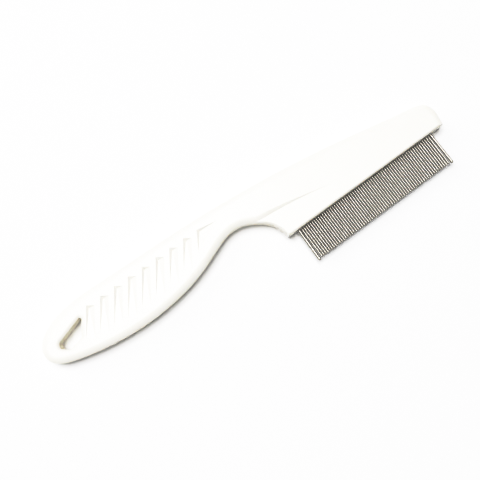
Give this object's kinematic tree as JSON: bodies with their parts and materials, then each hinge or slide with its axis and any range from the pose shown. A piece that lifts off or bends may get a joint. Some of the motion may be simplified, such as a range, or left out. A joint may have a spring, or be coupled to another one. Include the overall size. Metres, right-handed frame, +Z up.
{
  "type": "flea comb",
  "caption": "One-row metal-pin flea comb with a white moulded handle, ribbed grip and hanging hole, for combing pet fur.",
  "frame": {"origin": "under the middle of the comb's bounding box, on the surface that the comb's flat back lies on", "axes": "+X along the comb from the handle's butt to the tip of the head, parallel to the pin row; +Y from the pin tips to the spine; +Z up, out of the front face"},
  "size_m": [0.1802, 0.0438, 0.0085],
  "materials": {
    "white_abs": "white ABS, smooth moulded satin gloss, very slightly warm",
    "stainless_pin": "polished drawn stainless wire, faint marks along the pin"
  },
  "bodies": {
    "root": {"handle": "white_abs", "comb_pin_pair_01": "stainless_pin", "comb_pin_pair_02": "stainless_pin", "comb_pin_pair_03": "stainless_pin", "comb_pin_pair_04": "stainless_pin", "comb_pin_pair_05": "stainless_pin", "comb_pin_pair_06": "stainless_pin", "comb_pin_pair_07": "stainless_pin", "comb_pin_pair_08": "stainless_pin", "comb_pin_pair_09": "stainless_pin", "comb_pin_pair_10": "stainless_pin", "comb_pin_pair_11": "stainless_pin", "comb_pin_pair_12": "stainless_pin", "comb_pin_pair_13": "stainless_pin", "comb_pin_pair_14": "stainless_pin", "comb_pin_pair_15": "stainless_pin", "comb_pin_pair_16": "stainless_pin", "comb_pin_pair_17": "stainless_pin", "comb_pin_pair_18": "stainless_pin", "comb_pin_pair_19": "stainless_pin", "comb_pin_pair_20": "stainless_pin", "comb_pin_pair_21": "stainless_pin", "comb_pin_pair_22": "stainless_pin", "comb_pin_pair_23": "stainless_pin", "comb_pin_pair_24": "stainless_pin", "comb_pin_pair_25": "stainless_pin", "comb_pin_pair_26": "stainless_pin", "comb_pin_pair_27": "stainless_pin", "comb_pin_pair_28": "stainless_pin", "comb_pin_pair_29": "stainless_pin", "comb_pin_pair_30": "stainless_pin", "comb_pin_pair_31": "stainless_pin", "comb_pin_pair_32": "stainless_pin", "guard_pin_neck": "stainless_pin", "guard_pin_tip": "stainless_pin"}
  },
  "joints": []
}
